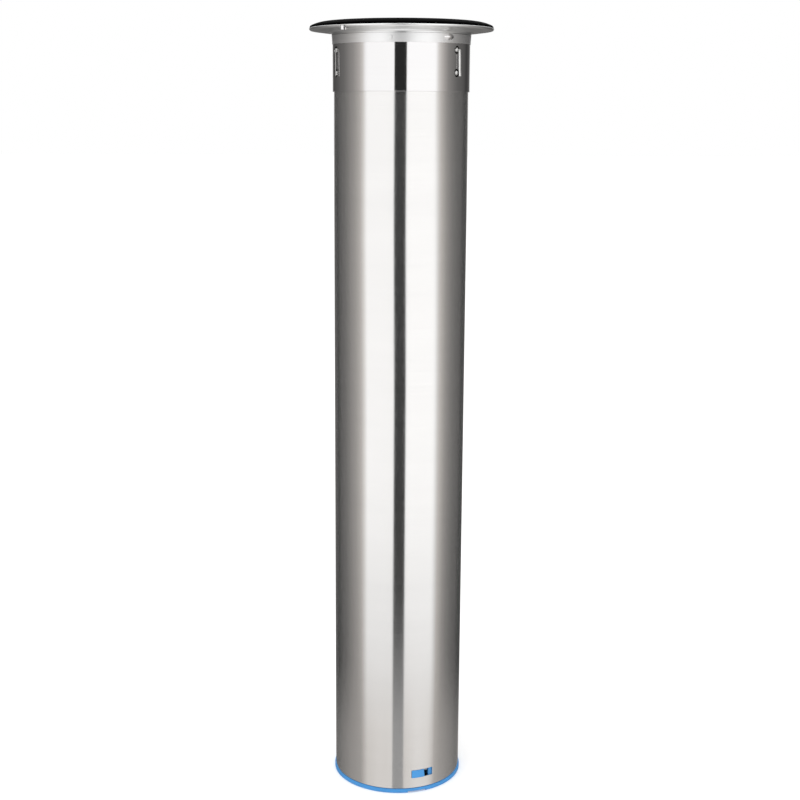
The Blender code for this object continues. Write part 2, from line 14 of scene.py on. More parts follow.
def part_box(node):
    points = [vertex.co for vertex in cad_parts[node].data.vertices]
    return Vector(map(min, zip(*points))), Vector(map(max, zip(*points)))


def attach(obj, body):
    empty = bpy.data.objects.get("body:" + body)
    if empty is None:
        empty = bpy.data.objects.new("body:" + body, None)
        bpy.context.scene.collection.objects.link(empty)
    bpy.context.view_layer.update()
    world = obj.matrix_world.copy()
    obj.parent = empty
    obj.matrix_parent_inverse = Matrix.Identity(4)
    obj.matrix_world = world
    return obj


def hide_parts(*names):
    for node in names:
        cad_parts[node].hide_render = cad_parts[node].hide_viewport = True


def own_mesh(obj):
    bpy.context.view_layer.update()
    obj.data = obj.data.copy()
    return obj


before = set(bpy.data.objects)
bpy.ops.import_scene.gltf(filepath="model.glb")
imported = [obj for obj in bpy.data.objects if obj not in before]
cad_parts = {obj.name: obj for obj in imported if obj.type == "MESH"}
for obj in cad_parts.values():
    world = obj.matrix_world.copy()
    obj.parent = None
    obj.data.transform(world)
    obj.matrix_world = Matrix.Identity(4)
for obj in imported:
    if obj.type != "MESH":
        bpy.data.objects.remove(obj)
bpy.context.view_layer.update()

MM = 0.001
THIRDS = (0.0, 120.0, 240.0)
HALVES = (0.0, 180.0)
LETTERS = ("a", "b", "c")
SEGMENTS = 180  # round every large turned piece
CORNER_STEPS = 4
SMOOTH_ANGLE = 32.0


def span(node):
    """Lowest and highest corner of a CAD node, in millimetres."""
    low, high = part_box(node)
    return low / MM, high / MM


TUBE_LOW, TUBE_HIGH = span("tube")
COLLAR_LOW, COLLAR_HIGH = span("collar")
NECK_LOW, NECK_HIGH = span("flange_neck")
_, FLANGE_HIGH = span("flange")
TRIM_LOW, TRIM_HIGH = span("trim_ring")
GASKET_LOW, GASKET_HIGH = span("cup_gasket")
STOP_LOW, STOP_HIGH = span("stop_ring")
_, CAP_HIGH = span("base_cap")
PLATFORM_LOW, PLATFORM_HIGH = span("platform")
RING_LOW, RING_HIGH = span("spring_centring_ring")
SEAT_LOW, SEAT_HIGH = span("spring_seat")
SPRING_LOW, SPRING_HIGH = span("lift_spring")

# Tube, collar and neck
TUBE_R = TUBE_HIGH.x
TUBE_BORE_R = TUBE_R - 0.8
COLLAR_R = COLLAR_HIGH.x
COLLAR_BORE_R = COLLAR_R - 0.65
NECK_R = COLLAR_R + 0.15  # at its lower edge; it widens upwards
NECK_TOP_R = COLLAR_R + 0.5
NECK_MIDDLE_R = (NECK_R + NECK_TOP_R) / 2 + 0.02
NECK_BORE_R = COLLAR_R + 0.02
NECK_LOWER_EDGE = (0.13, 1.6)  # how far the lower edge rolls in, and over what height
WINDOW_AZ = (13.2, 33.9)
WINDOW_Z = (11.8, 18.2)
SEAM_AZ = 180.0
SEAM_WIDTH = 1.3
SEAM_HEIGHT = 0.07
BUMP_AZ = 41.6
BUMP_Z = 578.0
BUMP_HALF_ANGLE = 5.2
BUMP_HALF_HEIGHT = 2.3
BUMP_HEIGHT = 1.5
BUMP_FULLNESS = 1.1  # 1 gives a parabola, and more gives a slimmer edge
BUMP_RINGS = 12
BUMP_SIDES = 64
BUMP_SUNK = 0.5  # how far the closed back of a bump lies inside the neck
RIVET_AZ = -8.0
RIVET_Z = 577.0
RIVET_R = 1.7
RIVET_DOME = 0.28
RIVET_TAIL = 0.8

# Flange and its tabs
SHEET = 0.8
FLANGE_R = FLANGE_HIGH.x
FLANGE_FILLET = 2.2
FLANGE_SEAT_Z = NECK_HIGH.z + FLANGE_FILLET + 0.3
FLANGE_SEAT_R = 59.5
FLANGE_RIM_Z = FLANGE_SEAT_Z + 0.9
FLANGE_LIP_R = 1.3
TAB_AZ = -37.1
TAB_R = 66.8
TAB_Z = (581.9, 585.0)
TAB_PLAN = (  # (along the tangent, outwards) of the folded tab's corners, seen from above
    (-2.1, -0.5), (-0.9, 0.0), (0.8, 0.0), (1.9, -0.8), (1.9, -1.6), (-2.1, -1.6),
)
TAB_TURN = 38.3  # degrees that the tab's face turns back towards the front
TAB_NOTCH_ALONG = (-2.6, 2.0)
TAB_NOTCH_R = (63.5, 69.0)
TAB_NOTCH_TOP = 585.05

# Retention clips
CLIP_AZ = 51.5
CLIP_HOLE_R = 2.9
CLIP_HOLE_Z = (553.1, 569.2)
CLIP_PATH = (  # (radius, distance along the tangent, height) down the middle of the strip
    (50.3, 0.6, 569.2), (51.9, 0.9, 569.3), (52.2, 1.5, 568.9), (52.15, 2.0, 566.0), (52.15, 2.1, 556.0),
    (52.2, 2.4, 552.4), (52.25, 2.5, 551.2), (52.25, 2.5, 550.9),
)
CLIP_HALF_SECTION = (1.0, 0.25)
CLIP_LEAN = 15.0  # degrees that the strip's face turns back towards its holes
CLIP_STUD_R = 1.55
CLIP_STUD_TOP = 51.5
CLIP_HOOK_R = (48.2, 48.9)
CLIP_HOOK = 3.7
CLIP_HOOK_WIDTH = 1.6

# Mouth
TRIM_R = TRIM_HIGH.x
TRIM_CREST_R = 55.5
TRIM_BORE_R = 46.0
GASKET_R = GASKET_HIGH.x
GASKET_TIP_R = 36.0
GASKET_ROOT_R = 46.6
GASKET_SAG = 1.3
PETALS = 12
SLIT_WIDTH = 0.9
STOP_R = STOP_HIGH.x
STOP_BORE_R = 46.4

# Base cap and latches
CAP_R = CAP_HIGH.x
CAP_RIM_TOP = TUBE_LOW.z - 0.3
CAP_FLOOR = 3.0
CAP_SKIRT_R = TUBE_BORE_R - 0.3
CAP_SKIRT_WALL = 1.9
CAP_RECESS_R = 44.0
CAP_RECESS_DEPTH = 1.0
CAP_HUB_R = 9.0
CAP_DRAIN_R = 4.0
CAP_DRAIN_CIRCLE_R = 26.0
CAP_RIB_WIDTH = 1.6
LATCH_AZ = (13.6, 25.2)
LATCH_SLOT_AZ = (9.2, 30.5)
LATCH_SLOT_BASE = 3.2
LATCH_BASE = 3.7
LATCH_TOP = 21.0
LATCH_WALL = 1.7
LUG_Z = (11.95, 18.05)
LUG_R = 51.3
PRY_AZ = (9.8, 27.0)
PRY_DEPTH = 1.3

# Carriage and spring
PLATFORM_R = PLATFORM_HIGH.x
PLATFORM_PLATE = 4.0
PLATFORM_WALL = 1.8
PLATFORM_HOLE_R = 7.0
DISH_R = 36.0
DISH_DEPTH = 0.8
SHOE_AZ = 20.0
SHOE_SPAN_AZ = 14.0
SHOE_Z = (562.0, 574.0)
SCREW_CIRCLE_R = 34.8
SPRING_WIRE_R = 1.0
SPRING_MEAN_R = 40.0
SPRING_TURNS = 20
SPRING_CLOSED_TURNS = 1.5
SPRING_STEPS = 60
SPRING_SIDES = 10


# Mesh building


def polar(azimuth, radius, height):
    angle = math.radians(azimuth)
    return Vector((radius * math.sin(angle), -radius * math.cos(angle), height))


def radial_frame(azimuth):
    """Turns local X to the outward radius at an azimuth and local Y to the tangent, with Z kept up."""
    return Matrix.Rotation(math.radians(azimuth - 90.0), 4, "Z")


def upright_frame(azimuth, radius):
    """Turns local X to +Z at an azimuth and a radius."""
    return Matrix.Translation(polar(azimuth, radius, 0)) @ Matrix.Rotation(-math.pi / 2, 4, "Y")


def arc(centre, radius, start, end, steps):
    """Points (r, z) on an arc, angles in degrees from the +r direction."""
    points = []
    for step in range(steps + 1):
        angle = math.radians(start + (end - start) * step / steps)
        points.append((centre[0] + radius * math.cos(angle), centre[1] + radius * math.sin(angle)))
    return points


def soften(corners):
    """Rounds an outline of (r, z, corner radius) points; a radius of 0 keeps its corner sharp."""
    points = []
    for index, (r, z, radius) in enumerate(corners):
        corner = Vector((r, z))
        if radius == 0:
            points.append((r, z))
            continue
        before = Vector(corners[index - 1][:2]) - corner
        after = Vector(corners[(index + 1) % len(corners)][:2]) - corner
        start = corner + before.normalized() * min(radius, before.length * 0.49)
        end = corner + after.normalized() * min(radius, after.length * 0.49)
        for step in range(CORNER_STEPS + 1):
            share = step / CORNER_STEPS
            bent = start.lerp(corner, share).lerp(corner.lerp(end, share), share)
            points.append((bent.x, bent.y))
    return points


def rectangle(inner, outer, low, high, radius=0.0):
    return [(inner, low, radius), (outer, low, radius), (outer, high, radius), (inner, high, radius)]


def add_ring(builder, outline):
    """Turns a closed (r, z) outline round Z."""
    rings = []
    for step in range(SEGMENTS):
        azimuth = 360.0 * step / SEGMENTS
        rings.append([builder.verts.new(polar(azimuth, r, z)) for r, z in outline])
    for step, ring in enumerate(rings):
        following = rings[(step + 1) % SEGMENTS]
        for index in range(len(outline)):
            after = (index + 1) % len(outline)
            builder.faces.new((ring[index], ring[after], following[after], following[index]))


def add_sector(builder, outline, start, end, steps):
    """Turns a closed (r, z) outline part of a circle round Z and closes both ends."""
    rings = []
    for step in range(steps + 1):
        azimuth = start + (end - start) * step / steps
        rings.append([builder.verts.new(polar(azimuth, r, z)) for r, z in outline])
    for ring, following in zip(rings, rings[1:]):
        for index in range(len(outline)):
            after = (index + 1) % len(outline)
            builder.faces.new((ring[index], ring[after], following[after], following[index]))
    builder.faces.new(rings[0])
    builder.faces.new(rings[-1])


def add_prism(builder, outline, width, azimuth, aside=0.0):
    """Extrudes a closed (r, z) outline across the radius at an azimuth, moved aside along the tangent."""
    placed = radial_frame(azimuth)
    sides = []
    for half in (-width / 2, width / 2):
        sides.append([builder.verts.new(placed @ Vector((r, aside + half, z))) for r, z in outline])
    for index in range(len(outline)):
        after = (index + 1) % len(outline)
        builder.faces.new((sides[0][index], sides[0][after], sides[1][after], sides[1][index]))
    builder.faces.new(sides[0])
    builder.faces.new(sides[1])


def add_pin(builder, outline, placed, sides=32):
    """Turns an open (radius, distance) outline about local X, from one end on the axis to the other."""
    poles = [builder.verts.new(placed @ Vector((outline[end][1], 0, 0))) for end in (0, -1)]
    rings = []
    for radius, distance in outline[1:-1]:
        ring = []
        for step in range(sides):
            angle = 2 * math.pi * step / sides
            point = Vector((distance, radius * math.cos(angle), radius * math.sin(angle)))
            ring.append(builder.verts.new(placed @ point))
        rings.append(ring)
    for step in range(sides):
        after = (step + 1) % sides
        builder.faces.new((poles[0], rings[0][step], rings[0][after]))
        builder.faces.new((poles[1], rings[-1][after], rings[-1][step]))
        for ring, following in zip(rings, rings[1:]):
            builder.faces.new((ring[step], following[step], following[after], ring[after]))


def place(name, builder):
    """Makes a mesh object in metres from a bmesh in millimetres."""
    bmesh.ops.recalc_face_normals(builder, faces=builder.faces)
    bmesh.ops.scale(builder, vec=Vector((MM, MM, MM)), verts=builder.verts)
    mesh = bpy.data.meshes.new(name)
    builder.to_mesh(mesh)
    builder.free()
    item = bpy.data.objects.new(name, mesh)
    bpy.context.scene.collection.objects.link(item)
    return item


def settle(item):
    """Bakes an object's modifiers into its mesh."""
    graph = bpy.context.evaluated_depsgraph_get()
    baked = bpy.data.meshes.new_from_object(item.evaluated_get(graph))
    item.modifiers.clear()
    item.data = baked


def cut(item, *builders):
    """Subtracts closed shapes from an object."""
    for builder in builders:
        cutter = place("cutter", builder)
        boolean = item.modifiers.new("cut", "BOOLEAN")
        boolean.operation = "DIFFERENCE"
        boolean.solver = "EXACT"
        boolean.object = cutter
        settle(item)
        bpy.data.objects.remove(cutter)


def bevel(item, width, segments=2):
    """Rounds an object's edges by a width in millimetres."""
    made = item.modifiers.new("edges", "BEVEL")
    made.width = width * MM
    made.segments = segments
    made.limit_method = "ANGLE"
    made.angle_limit = math.radians(SMOOTH_ANGLE)
    settle(item)


def finish_piece(item, body, slot, *nodes):
    """Shades a piece smooth, gives it its material, hangs it on the body it rides on, and hides the CAD nodes
    that it stands for.
    """
    item.data.shade_smooth()
    item.data.set_sharp_from_angle(angle=math.radians(SMOOTH_ANGLE))
    item.data.materials.clear()
    item.data.materials.append(FINISHES[slot])
    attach(item, body)
    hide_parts(*nodes)
    return item


def round_normals(item):
    """Gives the upright round walls of a turned sheet the normals of a true cylinder."""
    mesh = item.data
    normals = [Vector((0, 0, 0))] * len(mesh.loops)
    for face in mesh.polygons:
        outward = Vector((face.center.x, face.center.y, 0)).normalized()
        facing = face.normal.dot(outward)
        if abs(facing) < 0.99:
            continue
        for loop in face.loop_indices:
            point = mesh.vertices[mesh.loops[loop].vertex_index].co
            radial = Vector((point.x, point.y, 0)).normalized()
            normals[loop] = radial if facing > 0 else -radial
    mesh.normals_split_custom_set(normals)


def drills(azimuth, heights, radius, inner, outer):
    """Radial drills at three azimuths, a third of a turn apart, and the given heights."""
    builder = bmesh.new()
    for third in THIRDS:
        for height in heights:
            placed = Matrix.Translation((0, 0, height)) @ radial_frame(azimuth + third)
            add_pin(builder, [(0, inner), (radius, inner), (radius, outer), (0, outer)], placed)
    return builder


def sectors(outline, limits, steps=12):
    """Turned cutters at two azimuths, half a turn apart."""
    builder = bmesh.new()
    for half in HALVES:
        add_sector(builder, outline, limits[0] + half, limits[1] + half, steps)
    return builder


def plain(corners):
    return [(r, z) for r, z, _ in corners]


# Materials


def node(tree, kind, inputs=None, **settings):
    """Adds a shader node; an input is a value or another node's output."""
    made = tree.nodes.new(kind)
    for key, value in settings.items():
        setattr(made, key, value)
    for key, value in (inputs or {}).items():
        if isinstance(value, bpy.types.NodeSocket):
            tree.links.new(value, made.inputs[key])
        else:
            made.inputs[key].default_value = value
    return made


def maths(tree, operation, first, second=0.0):
    return node(tree, "ShaderNodeMath", {0: first, 1: second}, operation=operation).outputs[0]


def fade(tree, value, low, high, start=0.0, end=1.0):
    """Maps low..high to start..end, clamped."""
    inputs = {"Value": value, "From Min": low, "From Max": high, "To Min": start, "To Max": end}
    return node(tree, "ShaderNodeMapRange", inputs).outputs["Result"]


def blend(tree, share, first, second):
    """Mixes two colours, each a value or a socket."""
    made = node(tree, "ShaderNodeMix", data_type="RGBA")
    for index, value in ((0, share), (6, first), (7, second)):
        if isinstance(value, bpy.types.NodeSocket):
            tree.links.new(value, made.inputs[index])
        else:
            made.inputs[index].default_value = value
    return made.outputs[2]


def noise(tree, vector, detail=2.0):
    return node(tree, "ShaderNodeTexNoise", {"Vector": vector, "Scale": 1.0, "Detail": detail}).outputs["Fac"]


def object_point(tree, around, along):
    """Object space with x and y scaled by around and z by along, per metre."""
    coordinates = node(tree, "ShaderNodeTexCoord").outputs["Object"]
    scale = (around, around, along)
    return node(tree, "ShaderNodeMapping", {"Vector": coordinates, "Scale": scale}).outputs["Vector"]


def turned_point(tree, around, across):
    """Object space stretched round Z, so that noise on it makes the fine rings of turning."""
    coordinates = node(tree, "ShaderNodeTexCoord").outputs["Object"]
    x, y, z = node(tree, "ShaderNodeSeparateXYZ", {0: coordinates}).outputs
    x_squared = maths(tree, "MULTIPLY", x, x)
    y_squared = maths(tree, "MULTIPLY", y, y)
    radius = maths(tree, "SQRT", maths(tree, "ADD", x_squared, y_squared))
    rings = maths(tree, "MULTIPLY", maths(tree, "ADD", radius, z), across)
    wide_x = maths(tree, "MULTIPLY", x, around)
    wide_y = maths(tree, "MULTIPLY", y, around)
    return node(tree, "ShaderNodeCombineXYZ", {0: wide_x, 1: wide_y, 2: rings}).outputs[0]


def grey(level, alpha=1.0):
    return (level, level, level, alpha)


def bump(tree, height, strength, distance):
    """Bump from a height; distance is in millimetres."""
    inputs = {"Height": height, "Strength": strength, "Distance": distance * MM}
    return node(tree, "ShaderNodeBump", inputs).outputs["Normal"]


def new_material(name):
    made = bpy.data.materials.new(name)
    made.use_nodes = True
    return made, made.node_tree, made.node_tree.nodes["Principled BSDF"]


def steel(name, colour, roughness, grain, smudge, metallic=1.0, rings=2200.0):
    """Stainless steel with fine turned or brushed rings, and smudges that dull it a little."""
    made, tree, shader = new_material(name)
    lines = noise(tree, turned_point(tree, 9.0, rings), 3.0)
    broad = noise(tree, turned_point(tree, 14.0, 60.0), 2.0)
    marks = noise(tree, object_point(tree, 30.0, 12.0), 4.0)
    darker = tuple(channel * (1 - grain) for channel in colour[:3]) + (1.0,)
    streaks = maths(tree, "ADD", maths(tree, "MULTIPLY", lines, 0.6), maths(tree, "MULTIPLY", broad, 0.4))
    shade = fade(tree, streaks, 0.35, 0.65)
    tree.links.new(blend(tree, shade, darker, colour), shader.inputs["Base Color"])
    smudged = fade(tree, marks, 0.45, 0.75, 0.0, smudge)
    dulled = maths(tree, "ADD", smudged, fade(tree, lines, 0.3, 0.7, 0.0, grain))
    tree.links.new(maths(tree, "ADD", dulled, roughness), shader.inputs["Roughness"])
    tree.links.new(bump(tree, lines, grain, 0.02), shader.inputs["Normal"])
    shader.inputs["Metallic"].default_value = metallic
    return made


def moulded(name, colour, roughness, variation, specular=0.5, texture=900.0, texture_height=0.02):
    """A moulded plastic or rubber: slight colour and gloss variation, and a fine mould texture."""
    made, tree, shader = new_material(name)
    cloud = noise(tree, object_point(tree, 60.0, 60.0), 3.0)
    fine = noise(tree, object_point(tree, texture, texture), 2.0)
    darker = tuple(channel * (1 - variation) for channel in colour[:3]) + (1.0,)
    tree.links.new(blend(tree, fade(tree, cloud, 0.35, 0.65), darker, colour), shader.inputs["Base Color"])
    worn = fade(tree, cloud, 0.4, 0.7, 0.0, 0.1)
    dulled = maths(tree, "ADD", worn, fade(tree, fine, 0.3, 0.7, -0.03, 0.03))
    tree.links.new(maths(tree, "ADD", dulled, roughness), shader.inputs["Roughness"])
    tree.links.new(bump(tree, fine, 0.25, texture_height), shader.inputs["Normal"])
    shader.inputs["Specular IOR Level"].default_value = specular
    return made


def make_finishes():
    return {
        "brushed_tube": steel("brushed_tube", (0.80, 0.79, 0.78, 1), 0.085, 0.04, 0.03, metallic=0.97),
        "polished_collar": steel("polished_collar", (0.80, 0.79, 0.79, 1), 0.05, 0.02, 0.04),
        "pressed_flange": steel("pressed_flange", (0.97, 0.98, 0.98, 1), 0.3, 0.02, 0.04),
        "satin_neck": steel("satin_neck", (0.97, 0.97, 0.97, 1), 0.38, 0.03, 0.04),
        "spring_steel": steel("spring_steel", (0.55, 0.55, 0.56, 1), 0.28, 0.05, 0.08),
        "clip_steel": steel("clip_steel", (0.93, 0.93, 0.92, 1), 0.42, 0.03, 0.05),
        "fastener_steel": steel("fastener_steel", (0.62, 0.61, 0.60, 1), 0.25, 0.05, 0.06),
        "black_trim": moulded("black_trim", (0.001, 0.001, 0.0012, 1), 0.5, 0.3, specular=0.005),
        "black_rubber": moulded("black_rubber", (0.016, 0.016, 0.017, 1), 0.62, 0.3, specular=0.35),
        "blue_plastic": moulded("blue_plastic", (0.06, 0.30, 0.68, 1), 0.36, 0.1, specular=0.4),
        "white_plastic": moulded("white_plastic", (0.78, 0.78, 0.75, 1), 0.42, 0.05),
        "grey_plastic": moulded("grey_plastic", (0.33, 0.34, 0.35, 1), 0.48, 0.12),
    }


# Sheet-metal pieces


def make_tube():
    """The tube, with the latch windows and the clip holes, and its weld seam at the back."""
    builder = bmesh.new()
    add_ring(builder, soften(rectangle(TUBE_BORE_R, TUBE_R, TUBE_LOW.z, TUBE_HIGH.z, 0.2)))
    tube = place("tube_shell", builder)
    through = (TUBE_BORE_R - 2, TUBE_R + 2)
    cut(tube, sectors(plain(rectangle(*through, *WINDOW_Z)), WINDOW_AZ))
    cut(tube, drills(CLIP_AZ, CLIP_HOLE_Z, CLIP_HOLE_R, *through))
    finish_piece(tube, "housing", "brushed_tube", "tube")
    round_normals(tube)
    builder = bmesh.new()
    high = COLLAR_LOW.z - 0.4
    bead = plain(rectangle(TUBE_R - 0.1, TUBE_R + SEAM_HEIGHT, TUBE_LOW.z + 0.4, high))
    add_prism(builder, bead, SEAM_WIDTH, SEAM_AZ)
    seam = place("tube_seam", builder)
    bevel(seam, 0.05)
    finish_piece(seam, "housing", "brushed_tube")


def make_collar():
    builder = bmesh.new()
    add_ring(builder, soften(rectangle(COLLAR_BORE_R, COLLAR_R, COLLAR_LOW.z, COLLAR_HIGH.z, 0.25)))
    collar = place("collar_sleeve", builder)
    cut(collar, drills(CLIP_AZ, CLIP_HOLE_Z, CLIP_HOLE_R, COLLAR_BORE_R - 2, COLLAR_R + 2))
    finish_piece(collar, "housing", "polished_collar", "collar")
    round_normals(collar)


def make_neck():
    """The neck band, with its lower edge rolled in to the collar."""
    low, high = NECK_LOW.z, NECK_HIGH.z
    inward, rise = NECK_LOWER_EDGE
    edge = low + rise
    outline = [(NECK_BORE_R, low)]
    for step in range(9):
        angle = math.radians(-90 + 90 * step / 8)
        outline.append((NECK_R - inward + inward * math.cos(angle), edge + rise * math.sin(angle)))
    outline += [(NECK_TOP_R, high), (NECK_BORE_R, high)]
    builder = bmesh.new()
    add_ring(builder, outline)
    neck = finish_piece(place("neck_band", builder), "housing", "pressed_flange", "flange_neck")
    neck.data.materials[0] = FINISHES["satin_neck"]


def make_bumps():
    """Two oval bumps on the neck, each a patch of its face that swells outwards, closed behind."""
    for letter, half in zip(LETTERS, HALVES):
        builder = bmesh.new()
        tip = BUMP_AZ + half
        pole = builder.verts.new(polar(tip, NECK_MIDDLE_R + BUMP_HEIGHT, BUMP_Z))
        before = None
        for ring in range(1, BUMP_RINGS + 2):
            share = min(ring / BUMP_RINGS, 1.0)
            radius = NECK_MIDDLE_R + BUMP_HEIGHT * (1 - share**2) ** BUMP_FULLNESS
            if ring > BUMP_RINGS:
                radius -= BUMP_SUNK
            made = []
            for side in range(BUMP_SIDES):
                angle = 2 * math.pi * side / BUMP_SIDES
                azimuth = tip + BUMP_HALF_ANGLE * share * math.cos(angle)
                height = BUMP_Z + BUMP_HALF_HEIGHT * share * math.sin(angle)
                made.append(builder.verts.new(polar(azimuth, radius, height)))
            for side in range(BUMP_SIDES):
                after = (side + 1) % BUMP_SIDES
                if before:
                    builder.faces.new((before[side], before[after], made[after], made[side]))
                else:
                    builder.faces.new((pole, made[after], made[side]))
            before = made
        builder.faces.new(before)
        finish_piece(place(f"neck_bump_{letter}", builder), "housing", "polished_collar")


def make_rivets():
    """Low heads on the neck, each on a shank that goes through to the tube's bore."""
    face = NECK_MIDDLE_R
    inner = TUBE_BORE_R - 0.3
    tail = inner - RIVET_TAIL
    for letter, third in zip(LETTERS, THIRDS):
        outline = [(0, tail), (RIVET_R, tail)]
        outline += [(RIVET_R + 0.4, inner - 0.4), (RIVET_R + 0.4, inner)]
        outline += [(RIVET_R - 0.5, inner), (RIVET_R - 0.5, face), (RIVET_R, face)]
        outline += [(RIVET_R * 0.8, face + RIVET_DOME * 0.7), (RIVET_R * 0.4, face + RIVET_DOME * 0.95)]
        outline += [(0, face + RIVET_DOME)]
        builder = bmesh.new()
        placed = Matrix.Translation((0, 0, RIVET_Z)) @ radial_frame(RIVET_AZ + third)
        add_pin(builder, outline, placed)
        rivet = place(f"rivet_{letter}", builder)
        finish_piece(rivet, "housing", "pressed_flange", f"collar_rivet_{letter}")
        rivet.data.materials[0] = FINISHES["satin_neck"]


def make_flange():
    """The pressed plate: fillet, flat seat, slope to the rim, upturned lip, and two folded tabs."""
    fillet = (NECK_TOP_R + FLANGE_FILLET, FLANGE_SEAT_Z - FLANGE_FILLET)
    lip = (FLANGE_R - FLANGE_LIP_R, FLANGE_RIM_Z + FLANGE_LIP_R)
    outline = arc(fillet, FLANGE_FILLET, 180, 90, 8)
    outline += [(FLANGE_SEAT_R - 0.4, FLANGE_SEAT_Z), (FLANGE_SEAT_R + 0.4, FLANGE_SEAT_Z + 0.05)]
    outline += arc(lip, FLANGE_LIP_R, -85, 0, 6)
    top = FLANGE_HIGH.z
    outline += [(FLANGE_R, top - 0.2), (FLANGE_R - 0.2, top), (FLANGE_R - SHEET + 0.2, top)]
    outline += [(FLANGE_R - SHEET, top - 0.2)]
    outline += arc(lip, FLANGE_LIP_R - SHEET, 0, -90, 4)
    outline += [(FLANGE_SEAT_R, FLANGE_SEAT_Z + SHEET)]
    outline += arc(fillet, FLANGE_FILLET + SHEET, 90, 180, 6)
    builder = bmesh.new()
    add_ring(builder, outline)
    flange = place("flange_plate", builder)
    left, right = TAB_NOTCH_ALONG
    notch = plain(rectangle(*TAB_NOTCH_R, FLANGE_SEAT_Z - 3, TAB_NOTCH_TOP))
    notches = bmesh.new()
    for half in HALVES:
        add_prism(notches, notch, right - left, TAB_AZ + half, (left + right) / 2)
    cut(flange, notches)
    finish_piece(flange, "housing", "pressed_flange", "flange")
    for letter, half in zip(LETTERS, HALVES):
        builder = bmesh.new()
        middle = polar(TAB_AZ + half, TAB_R, 0)
        turned = radial_frame(TAB_AZ + half + TAB_TURN)
        rings = []
        for level in TAB_Z:
            corners = [middle + turned @ Vector((outward, along, level)) for along, outward in TAB_PLAN]
            rings.append([builder.verts.new(corner) for corner in corners])
        for index in range(len(TAB_PLAN)):
            after = (index + 1) % len(TAB_PLAN)
            builder.faces.new((rings[0][index], rings[0][after], rings[1][after], rings[1][index]))
        builder.faces.new(rings[0])
        builder.faces.new(rings[1])
        made = place(f"flange_tab_{letter}", builder)
        bevel(made, 0.1)
        finish_piece(made, "housing", "polished_collar")


def round_path(points):
    """Cuts the corners of a path three times over."""
    points = [Vector(point) for point in points]
    for _ in range(3):
        cut_points = [points[0]]
        for before, after in zip(points, points[1:]):
            cut_points += [before.lerp(after, 0.25), before.lerp(after, 0.75)]
        points = cut_points + [points[-1]]
    return points


def add_strip(builder, path, half_section, lean, placed, sides=16):
    """Sweeps an oval along a path; lean, in degrees, lifts the side that lies further along the tangent."""
    across = Vector((math.sin(math.radians(lean)), math.cos(math.radians(lean)), 0))
    rings = []
    for index, point in enumerate(path):
        forward = (path[min(index + 1, len(path) - 1)] - path[max(index - 1, 0)]).normalized()
        wide = (across - forward * across.dot(forward)).normalized() * half_section[0]
        thick = forward.cross(wide).normalized() * half_section[1]
        ring = []
        for side in range(sides):
            angle = 2 * math.pi * side / sides
            edge = point + wide * math.cos(angle) + thick * math.sin(angle)
            ring.append(builder.verts.new(placed @ edge))
        rings.append(ring)
    for ring, following in zip(rings, rings[1:]):
        for side in range(sides):
            after = (side + 1) % sides
            builder.faces.new((ring[side], ring[after], following[after], following[side]))
    builder.faces.new(rings[0])
    builder.faces.new(rings[-1])


def make_clips():
    """Spring strips that stand off the collar beside two holes, with a hooked stud in each hole."""
    inner, outer = CLIP_HOOK_R
    stud = [(0, inner), (CLIP_STUD_R, inner), (CLIP_STUD_R, CLIP_STUD_TOP - 0.7)]
    stud += [(CLIP_STUD_R * 0.85, CLIP_STUD_TOP - 0.3), (CLIP_STUD_R * 0.5, CLIP_STUD_TOP - 0.07)]
    stud += [(0, CLIP_STUD_TOP)]
    for letter, third in zip(LETTERS, THIRDS):
        builder = bmesh.new()
        placed = radial_frame(CLIP_AZ + third)
        add_strip(builder, round_path(CLIP_PATH), CLIP_HALF_SECTION, CLIP_LEAN, placed)
        for height, way in zip(CLIP_HOLE_Z, (-1, 1)):
            add_pin(builder, stud, Matrix.Translation((0, 0, height)) @ placed)
            low, high = sorted((height, height + way * CLIP_HOOK))
            hook = plain(rectangle(inner, outer, low, high))
            add_prism(builder, hook, CLIP_HOOK_WIDTH, CLIP_AZ + third)
        clip = place(f"side_clip_{letter}", builder)
        finish_piece(clip, f"clip_{letter}", "clip_steel", f"retention_clip_{letter}")


# Mouth pieces


def make_trim_ring():
    """The black ring: a thin edge, a long low dome, and a fall to the mouth with a fine step."""
    low, top = TRIM_LOW.z, TRIM_HIGH.z
    edge = FLANGE_HIGH.z + 0.15
    web = GASKET_HIGH.z + 0.3
    mouth = top - 1.8
    step_r = (TRIM_BORE_R + TRIM_CREST_R) / 2
    inside_lip = FLANGE_R - SHEET - 0.6
    corners = [(TRIM_R, edge, 0.2), (TRIM_R - 0.5, edge + 1.5, 0.7), (TRIM_R - 3.8, top - 1.45, 2.0)]
    corners += [(TRIM_CREST_R + 4.5, top - 0.35, 2.5), (TRIM_CREST_R, top, 2.5)]
    corners += [(step_r + 0.5, top - 0.3, 0.3), (step_r, top - 0.65, 0.3)]
    corners += [(TRIM_BORE_R + 1.4, mouth + 0.4, 0.8), (TRIM_BORE_R, mouth - 1.0, 0.6)]
    corners += [(TRIM_BORE_R, web, 0.1), (GASKET_R + 0.3, web, 0), (GASKET_R + 0.3, low, 0)]
    corners += [(inside_lip, low, 0), (inside_lip, edge, 0)]
    builder = bmesh.new()
    add_ring(builder, soften(corners))
    finish_piece(place("top_ring", builder), "housing", "black_trim", "trim_ring")


def petal_sag(radius):
    """How far a petal hangs at a radius."""
    reach = max(0.0, (GASKET_ROOT_R - radius) / (GASKET_ROOT_R - GASKET_TIP_R))
    return GASKET_SAG * reach**2


